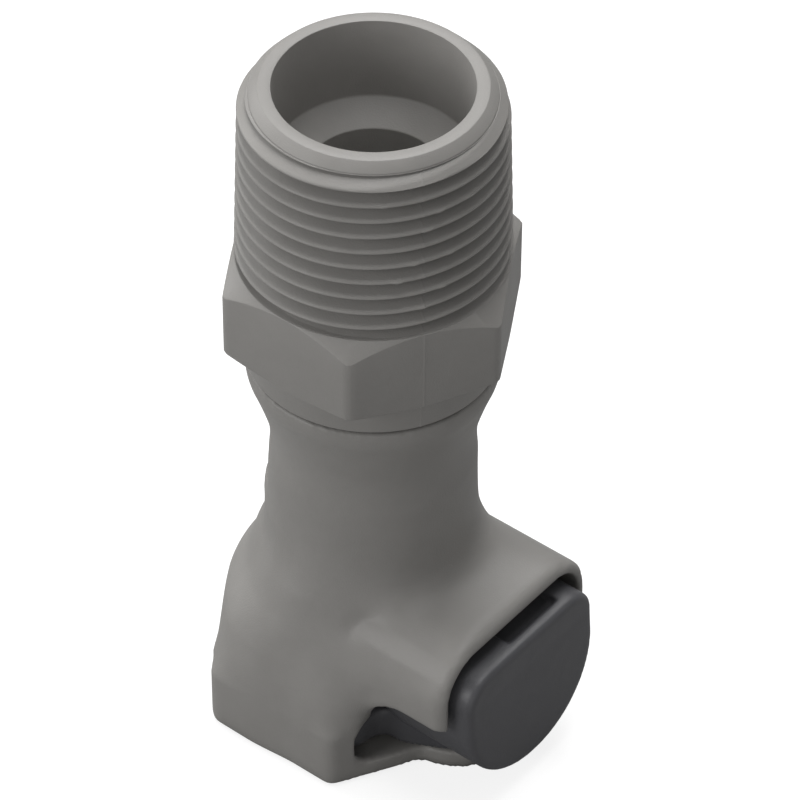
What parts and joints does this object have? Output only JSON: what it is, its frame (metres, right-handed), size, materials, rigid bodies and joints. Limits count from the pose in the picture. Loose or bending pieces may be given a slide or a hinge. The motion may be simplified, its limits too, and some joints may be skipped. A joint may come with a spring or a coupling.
{
  "type": "quick disconnect coupling body",
  "caption": "Plastic quick disconnect coupling body with a male taper pipe thread, a wrench hexagon, a hooded thumb latch button and a spring shutoff valve in its flow path.",
  "frame": {"origin": "centre of the socket's mouth on the flat end face that the part stands on", "axes": "+Z along the flow axis towards the pipe thread, the latch button points along -Y, +X is to its right"},
  "size_m": [0.0306, 0.0374, 0.0786],
  "materials": {
    "housing": "satin glass-filled polypropylene",
    "latch": "fine satin",
    "spring_steel": "drawn wire",
    "seal": "smooth"
  },
  "bodies": {
    "housing": {"coupler_body": "housing", "threaded_adapter": "housing", "valve_guide": "housing", "latch_spring": "spring_steel", "valve_spring": "spring_steel"},
    "latch": {"thumb_latch": "latch"},
    "valve": {"valve_poppet": "housing", "valve_seal": "seal"}
  },
  "joints": [
    {"name": "latch_slide", "type": "slide", "parent": "housing", "child": "latch", "axis": [0, 1, 0], "range_m": [0, 0.002], "stiffness_N_per_m": 600, "springref_m": -0.006, "deforming": ["latch_spring"]},
    {"name": "valve_slide", "type": "slide", "parent": "housing", "child": "valve", "axis": [0, 0, 1], "range_m": [0, 0.005], "stiffness_N_per_m": 400, "springref_m": -0.006, "deforming": ["valve_spring"]}
  ]
}
